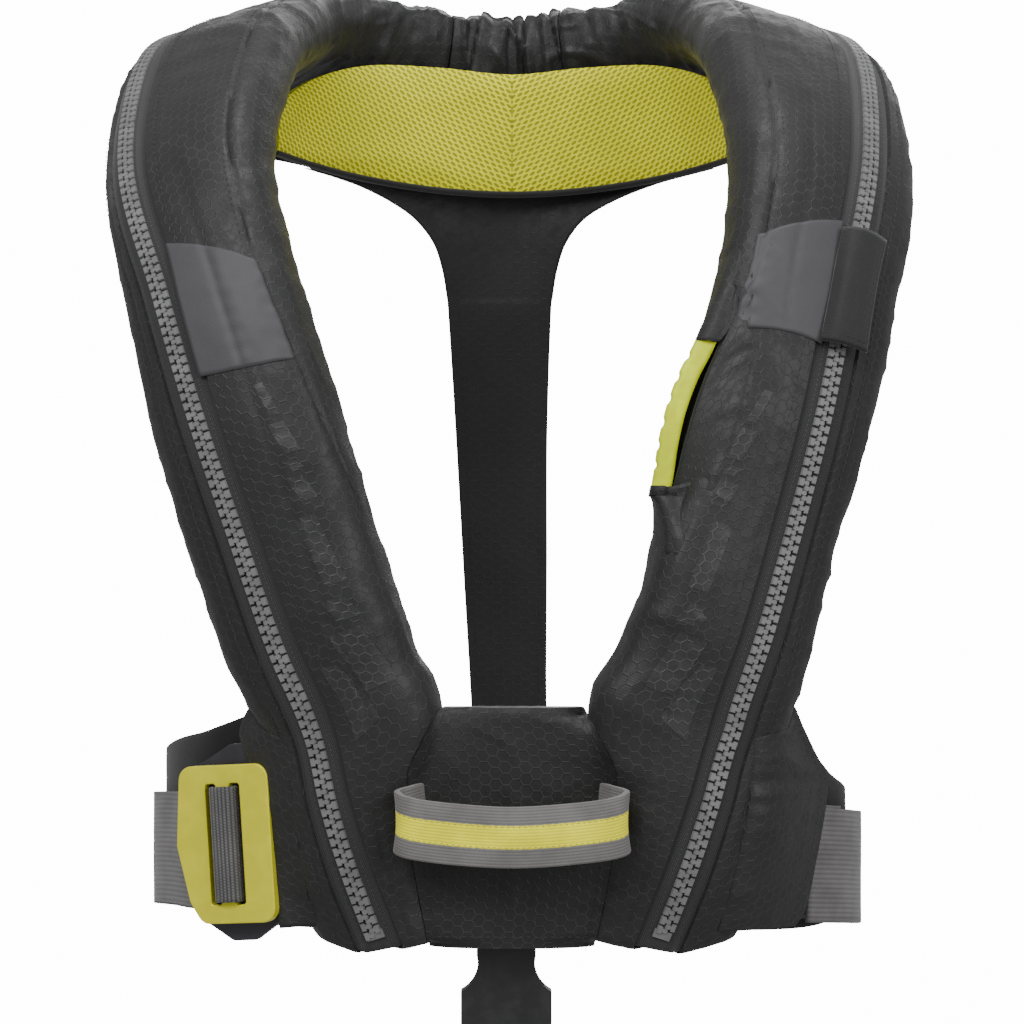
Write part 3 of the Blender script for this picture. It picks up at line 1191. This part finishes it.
def slider_flap():
    stations = np.linspace(station_at(2, FLAP_TOP_Z, 4), station_at(2, FLAP_BOTTOM_Z, 4), 30)
    frames = [Frame(at, 1) for at in stations]
    top = frames[0].face(frames[0].zip_at - 9.0, FLAP_SECTION[0][1])
    bottom = frames[-1].face(frames[-1].zip_at - 9.0, FLAP_SECTION[0][1])
    rows = []
    for i, at in enumerate(frames):
        share = i / (len(frames) - 1)
        row = [top * (1 - share) + bottom * share]
        for across, lift in FLAP_SECTION[1:]:
            stand = 0.9 * (across / 17.0) ** 2 * share**3 - 0.5 * math.sin(math.pi * share) * (across / 17.0)
            row.append(at.face(at.zip_at - 9.0 + across, lift + stand))
        rows.append(spline(row, 6))
    flap = surface("flap_cloth", rows, SATIN, 1.1, body="slider_flap", nodes=("slider_flap",),
                   slot="cover_fabric")
    thread, lift = {"body": "slider_flap", "pitch": 2.4, "length": 1.7, "width": 0.35}, 0.62
    outs = [at.out_here() for at in frames[1:-1]]
    for label, column in (("outer", -3), ("inner", 3)):
        points = [row[column] + out * lift for row, out in zip(rows[1:-1], outs)]
        stitches(f"flap_stitches_{label}", points, outs, **thread)
    low = [p + outs[-1] * lift for p in rows[-3]][2:-2]
    stitches("flap_stitches_low", low, [outs[-1]] * len(low), **thread)


# Webbing ----------------------------------------------------------------------------------------------------

WAIST_BELT = [(-110.2, -164, -267), (-110.6, -157.5, -267.3), (-115, -150, -268), (-124.5, -141, -268.5),
              (-133.5, -123, -269), (-143.5, -95, -271), (-145.5, -50, -275), (-133, -6, -280),
              (-101, 30, -284), (-54, 44, -286), (0, 47, -286), (54, 44, -286), (101, 30, -285),
              (131, -6, -284), (142, -50, -282), (140, -95, -279), (131, -124, -276), (117, -141.5, -274)]
CHEST_BELT = [(129, -119.5, -275), (115.5, -136, -273), (92, -147, -271), (60, -156, -270), (30, -161, -270),
              (0, -163, -270), (-30, -161, -270), (-60, -156, -270), (-84, -149.5, -269)]
TETHER_ROUTE = [(-33.2, -183, -248.5), (-33.5, -190, -249), (-37.5, -198.5, -250), (-42.5, -206, -251.5),
                (-37.5, -212, -254), (-20, -215, -256), (0, -216, -257)]


BELT_WIDTH, TETHER_WIDTH = 45.0, 22.9


def whole(half):
    half = [tuple(point) for point in half]
    return half + [(-x, *rest) for x, *rest in half[-2::-1]]


def belts():
    for node, route in (("waist_belt", WAIST_BELT), ("chest_belt", CHEST_BELT)):
        rows = webbing_rows(route, BELT_WIDTH, columns=15, steps=10)
        for row in rows:
            for i, p in enumerate(row):
                sway = 0.5 * noise.noise(Vector(p) / 40.0) * (1 - abs(2 * i / 14 - 1) * 0.3)
                row[i] = p + np.array([p[0], p[1] + 60, 0]) / (np.hypot(p[0], p[1] + 60) + 1) * sway
        surface(node + "_webbing", rows, BELT_GREY, 1.7, nodes=(node,), slot="grey_webbing")


def tether_loop():
    rows = webbing_rows(whole(TETHER_ROUTE), TETHER_WIDTH, columns=25, steps=14)
    count = len(rows)
    for i, row in enumerate(rows):
        end = min(i, count - 1 - i) / 14.0
        middle = np.mean(row, axis=0)
        squeeze = 1 - 0.22 * math.exp(-end * 1.3)
        for k, p in enumerate(row):
            s = 2 * k / 24 - 1
            curl = 0.7 * s * s - 0.25 + 0.5 * noise.noise(Vector(p) / 20.0)
            row[k] = middle + (p - middle) * squeeze + np.array([0, curl, 0])
    loop = surface("tether_webbing", rows, TETHER_GREY, 2.3, centred=True, body="tether_loop",
                   nodes=("tether_loop",), slot="grey_webbing")
    round_rims(loop, 0.7, 2, 60)
    for label, column in (("top", 8), ("low", 16)):
        line = np.array([row[column] for row in rows[10:-10]])
        out = unit_rows(np.cross(np.gradient(line, axis=0), [0, 0, 1.0]))
        out *= np.where(out[:, 1] > 0, -1, 1)[:, None]
        stitches(f"tether_stitches_{label}", line + out * 1.1, out, PALE_THREAD, body="tether_loop", pitch=2.2,
                 length=1.5, width=0.35)


# The back: neck pad, yoke, strap and sleeve -----------------------------------------------------------------

PAD_TOP = [(-99, -50, 34), (-84, -31.5, 46.5), (-62, -15, 54), (-32, -3, 54.5), (0, 1, 52)]
PAD_BOTTOM = [(-99, -50, 14), (-84, -31, 10), (-62, -14, 5.5), (-32, -4, 1.5), (0, 0, 0)]
YOKE_BOTTOM = [(-99, -50, 12), (-84, -31, 10.5), (-64, -12, 8), (-48, -3, 3.5), (-34, 1.5, -3), (-26, 5, -12),
               (-20, 9, -22), (0, 12, -25)]
# The strap, from its flare behind the neck pad down: x, y at its middle, y at its edges, z and half width.
STRAP = [(-1.3, 8.7, -27.0, 9.5, 86), (-3.1, 9.3, -10.6, 4.0, 64), (-4.4, 10.0, -3.0, -1.5, 49.5),
         (-5.3, 10.9, 1.5, -9, 37), (-5.3, 12.0, 5.0, -19, 28.8), (-5.3, 13.2, 8.8, -30, 24.9),
         (-5.3, 14.8, 12.6, -42, 22.9), (-5.3, 16.6, 15.9, -53, 22.0), (-4.5, 31, 30.6, -105, 19.8),
         (-3, 38.5, 38.2, -160, 18.3), (-1.5, 41, 40.8, -215, 16.6), (0, 41.8, 41.6, -255, 16.0),
         (0, 42.0, 41.8, -300, 16.0)]
YOKE_DRIFT, YOKE_BACK = -5.3, 4.4
BELT_BACK_Y, BELT_BACK_Z = 47.0, -286.0


def neck_pad():
    top, bottom = spline(whole(PAD_TOP), 16), spline(whole(PAD_BOTTOM), 16)
    rows = []
    for i, (a, b) in enumerate(zip(top, bottom)):
        along = step_at(top, i)
        out = unit(np.array([along[1], -along[0], 0.0]))
        x = a[0]
        centre = math.exp(-((x / 2.2) ** 2))
        row = []
        for t in np.linspace(0, 1, 34):
            fat = 1.3 + 1.3 * min(1.0, min(t, 1 - t) * 7) ** 0.6
            fold = 0.5 * noise.noise(Vector((x / 26.0, t * 2.2, 1.5)))
            fold += 0.7 * ridge(x / 60.0 + t * 0.4, t * 1.1, 2.0)
            row.append(a * (1 - t) + b * t + out * (fat + fold * math.sin(math.pi * t) - 0.8 * centre))
        for t in np.linspace(1, 0, 20):
            fat = 1.2 + 1.0 * min(1.0, min(t, 1 - t) * 7) ** 0.6
            row.append(a * (1 - t) + b * t - out * fat)
        rows.append(row)
    pad = surface("neck_pad_mesh", rows, MESH, closed=True, centred=True, nodes=("neck_pad",),
                  slot="yellow_mesh")
    hem = [row[32] * 0.55 + row[34] * 0.45 + [0, 0, -0.3] for row in rows]
    tube_along("neck_pad_hem", hem, 1.5, BINDING, flatten=1.6, slot="plain_fabric")
    seam_row = rows[len(rows) // 2][2:32]
    stitches("neck_pad_centre_stitches", np.array(seam_row) + [0, -0.2, 0], [(0, -1, 0)] * len(seam_row),
             OLIVE_THREAD, pitch=2.6)


def crumple(p, amount, seed=0.0):
    soft = noise.noise(Vector(p) / 30.0 + Vector((seed, 0, 0)))
    return amount * (soft + 0.5 * ridge(p[0] / 40.0 + p[2] / 130.0, p[2] / 75.0, seed + 1.0))


def collar_yoke():
    low, top = spline(whole(YOKE_BOTTOM), 10), spline(whole(PAD_TOP), 40)
    rows = []
    for point in low:
        upper = top[np.argmin(abs(top[:, 0] - point[0]))]
        out = unit(np.array([upper[0] * 0.012, 1.0, 0.0]))
        upper = np.array([point[0], upper[1], upper[2] - 6.0])
        point = point + [YOKE_DRIFT * min(1.0, (99 - abs(point[0])) / 60), 0, 0]
        row = []
        for t in np.linspace(0, 1, 26):
            p = upper * (1 - t) + point * t + out * YOKE_BACK
            row.append(p + out * crumple(p, 0.55, 3.0) * math.sin(math.pi * t))
        rows.append(row)
    yoke = surface("yoke_cloth", rows, STRAP_CLOTH, 1.4, nodes=("collar_yoke",), slot="plain_fabric")


def back_strap():
    rows = []
    for x, middle, edge, z, half in spline(STRAP, 14):
        row = []
        for s in np.linspace(-1, 1, 41):
            p = np.array([x + s * half, middle + (edge - middle) * s * s, z])
            row.append(p + [0, crumple(p, 0.5, 9.0) + 0.3 - 0.5 * s * s, 0])
        rows.append(row)
    strap = surface("back_strap_cloth", rows, STRAP_CLOTH, 1.6, nodes=("back_strap",), slot="plain_fabric")
    for label, column in (("right", 4), ("left", -5)):
        points = np.array([row[column] for row in rows[70:]])
        stitches(f"strap_stitches_{label}", points + [0, -0.85, 0], [(0, -1, 0)] * len(points))
        stitches(f"strap_stitches_back_{label}", points + [0, 0.85, 0], [(0, 1, 0)] * len(points))
    depth, high = (6.2 + 1.5) / 2, (48 + 1.5) / 2
    ring = rounded([(-depth, -high), (depth, -high), (depth, high), (-depth, high)], 1.6, 5)
    ring.append(ring[0])
    rows = []
    for x in np.linspace(-16, 16, 24):
        rows.append([[x, BELT_BACK_Y + 0.8 + a + 0.3 * noise.noise(Vector((x, b, a)) / 12.0), BELT_BACK_Z + b]
                     for a, b in ring])
    surface("belt_sleeve_cloth", rows, STRAP_CLOTH, 1.3, nodes=("strap_belt_sleeve",), slot="plain_fabric")
    for side in (-1, 1):
        back = BELT_BACK_Y + 0.8 + depth + 0.75
        line = [(side * 13.2, back, BELT_BACK_Z + z) for z in np.linspace(-21, 21, 12)]
        stitches(f"sleeve_stitches_{'left' if side > 0 else 'right'}", line, [(0, 1, 0)] * 12)


# Buckles ----------------------------------------------------------------------------------------------------

BUCKLE_TILT, BUCKLE_LEAN = 25.0, -4.0
CROTCH_X, CROTCH_Y, SOCKET_TOP, SOCKET_BOTTOM = -2.2, -165.3, -296.5, -336.0
PLATE_CENTRE = Vector((-109.5, -170.0, -263.3))
PLATE_THICKNESS, FRAME_THICKNESS, FRAME_BEHIND = 4.0, 3.0, 8.0


def buckle_point(x, out, z):
    """A point given across, out of and up the buckle, from the pull plate's centre."""
    tilt = Matrix.Rotation(math.radians(-BUCKLE_TILT), 3, "Z")
    return PLATE_CENTRE + tilt @ Matrix.Rotation(math.radians(BUCKLE_LEAN), 3, "Y") @ Vector((x, -out, z))


def turned(location, rotation):
    angles = Euler([math.radians(a) for a in rotation])
    return Matrix.Translation(Vector(location)) @ angles.to_matrix().to_4x4()


def belt_buckle():
    turn = (90, BUCKLE_LEAN, -BUCKLE_TILT)
    edge = [(-12, -30.5), (20, -30.5), (20, 30.5), (-18.5, 30.5), (-21.5, 0), (-17, -22)]
    slots = [rounded(box_outline(4.6, 46.6, x), 1.2, 5) for x in (-5.2, 5.2)]
    prism("pull_plate_body", rounded(edge, 5.6), slots, PLATE_THICKNESS, 0.9, YELLOW_ALLOY,
          turned(PLATE_CENTRE, turn), 4, body="pull_plate", nodes=("pull_plate",), slot="yellow_alloy")
    outline = [(-4, -38), (6, -38), (19, -30), (19, 30), (10, 38), (0, 38), (-19, 28), (-19, -28)]
    holes = [rounded(box_outline(12.0, 51, -4.0, -2.2), 1.5, 5), rounded(box_outline(4.4, 47, 12.5), 1.2, 5)]
    prism("frame_plate_body", rounded(outline, 4.0), holes, FRAME_THICKNESS, 0.7, BLACK_ALLOY,
          turned(buckle_point(0.2, -FRAME_BEHIND, 0.2), turn), 3, nodes=("frame_plate",), slot="black_alloy")
    arch = spline([(-4.6, -3.2), (-4.6, 1.8), (-3.6, 3.6), (0, 4.3), (3.6, 3.6), (4.6, 1.8), (4.6, -3.2)], 5)
    rows = [[buckle_point(x, out, z) for x, out in arch] for z in np.linspace(22.2, -22.2, 30)]
    surface("plate_loop_webbing", rows, LOOP_GREY, 1.4, body="pull_plate", nodes=("plate_webbing_loop",),
            slot="grey_webbing")
    width, height = 6.4, FRAME_THICKNESS + 1.6
    ring = rounded(box_outline(width, height), 1.2, 4)
    ring.append(ring[0])
    rows = [[buckle_point(16.65 + x, -FRAME_BEHIND + out, 0.2 + z) for x, out in ring]
            for z in np.linspace(21, -21, 24)]
    surface("frame_loop_webbing", rows, LOOP_GREY, 1.0, nodes=("frame_webbing_loop",), slot="grey_webbing")


def helper(name, mesh, matrix):
    """A cutter, in millimetres."""
    mesh.transform(matrix)
    return linked(name, mesh)


def crotch_buckle():
    x, y = CROTCH_X, CROTCH_Y
    outline = [(-11.4, SOCKET_TOP), (11.4, SOCKET_TOP), (11.4, -313), (17.5, -313), (17.5, SOCKET_BOTTOM),
               (-17.5, SOCKET_BOTTOM), (-17.5, -313), (-11.4, -313)]
    upright = turned((x, y, 0), (90, 0, 0))
    obj = helper("socket", extruded("socket", rounded(outline, 2.0), 10.6), upright)
    for side in (-1, 1):
        circle = [(side * 23 + 12 * math.cos(a), -309.5 + 12 * math.sin(a))
                  for a in np.linspace(0, 2 * math.pi, 56)[:-1]]
        cut(obj, helper(f"window_{side}", extruded("window", circle, 30), upright))
        beside = box_outline(21.4, 6.2, 0, SOCKET_TOP - 2.4)
        at = turned((x, y + side * 4.7, 0), (90, 0, 0))
        cut(obj, helper(f"beside_{side}", extruded("beside", beside, 6.0), at))
    mouth = rounded(box_outline(29, 26, 0, SOCKET_BOTTOM + 11.5), 1.5)
    cut(obj, helper("mouth", extruded("mouth", mouth, 6.6), upright))
    slot = rounded(box_outline(21.4, 3.8, 0, SOCKET_TOP - 4.7), 0.8)
    cut(obj, helper("bar_slot", extruded("bar_slot", slot, 30), upright))
    mesh = baked(obj)
    mesh.transform(Matrix.Diagonal((MM, MM, MM, 1)))
    made = piece("crotch_socket", mesh, BLACK_PLASTIC, "crotch_buckle", ("crotch_buckle_socket",),
                 "black_plastic")
    round_rims(made, 1.0, 3, 50)
    smooth(mesh, 40)
    tab = [(y - 3.1, -290), (y - 3.1, -298.4), (y - 2.0, -300.5), (y, -301.0), (y + 2.0, -300.5),
           (y + 3.1, -298.4), (y + 4.9, -294), (y + 5.6, -272)]
    rows = [[[x + s * 9.8, py, z] for s in np.linspace(-1, 1, 13)] for py, z in spline(tab, 6)]
    surface("crotch_webbing", rows, LOOP_GREY, 1.2, nodes=("crotch_tab_webbing",), slot="grey_webbing")


# The studio -------------------------------------------------------------------------------------------------


def backdrop():
    """A seamless white paper floor and wall, which only the camera sees, so that it throws no light back."""
    profile = [(-4.0, -0.9), (1.4, -0.9), (2.0, -0.82), (2.4, -0.6), (2.6, -0.2), (2.65, 4.0)]
    line = spline(profile, 6)
    points = [(x, y, z) for y, z in line for x in (-5.0, 5.0)]
    faces = [(2 * i, 2 * i + 1, 2 * i + 3, 2 * i + 2) for i in range(len(line) - 1)]
    mesh = bpy.data.meshes.new("backdrop")
    mesh.from_pydata(points, [], faces)
    look = Look("white_paper", (0.9, 0.9, 0.9), 0.9)
    look.set("Emission Color", (1, 1, 1, 1))
    look.set("Emission Strength", 14.0)
    mesh.materials.append(look.material)
    obj = linked("backdrop", mesh)
    obj.visible_diffuse = obj.visible_glossy = obj.visible_shadow = False


def soft_light(name, location, aim_at, size, power):
    data = bpy.data.lights.new(name, "AREA")
    data.shape = "DISK"
    data.size = size
    data.energy = power
    light = linked(name, data)
    light.location = location
    light.rotation_euler = (Vector(aim_at) - Vector(location)).to_track_quat("-Z", "Y").to_euler()


def studio():
    backdrop()
    world = bpy.data.worlds.new("studio")
    world.use_nodes = True
    shade = world.node_tree.nodes["Background"].inputs
    shade[0].default_value = (1, 1, 1, 1)
    shade[1].default_value = 0.42
    bpy.context.scene.world = world
    soft_light("key", (-0.75, -1.5, 0.85), (0, -0.15, -0.1), 0.9, 20)
    soft_light("fill", (1.0, -1.35, 0.2), (0, -0.15, -0.15), 1.0, 11)
    soft_light("above", (0.1, -0.35, 1.25), (0, -0.08, 0), 0.8, 10)
    soft_light("behind", (0.2, 1.5, 0.6), (0, 0, -0.1), 1.2, 12)
    data = bpy.data.cameras.new("camera")
    data.lens = 136.97
    data.clip_start = 0.05
    camera = linked("camera", data)
    camera.location = (0, -1.670, -0.1355)
    camera.rotation_euler = (math.radians(90), 0, 0)
    bpy.context.scene.camera = camera


studio()
lobes()
chest_panel()
side_panel("left", LEFT_RIM, 1, 0.60)
side_panel("right", RIGHT_RIM, -1, 0.80)
wing("left", LEFT_WING, 1)
wing("right", RIGHT_WING, -1)
pull_handle()
pocket("upper", -70.5, -48.0, (0.93, 0.955, 0.98, 0.995), 0.14)
pocket("lower", -125.5, -160.0, (0.76, 0.85, 0.92, 0.975), 0.38)
handle_gusset()
handle_flap()
zip_slider()
slider_flap()
belts()
tether_loop()
neck_pad()
collar_yoke()
back_strap()
belt_buckle()
crotch_buckle()
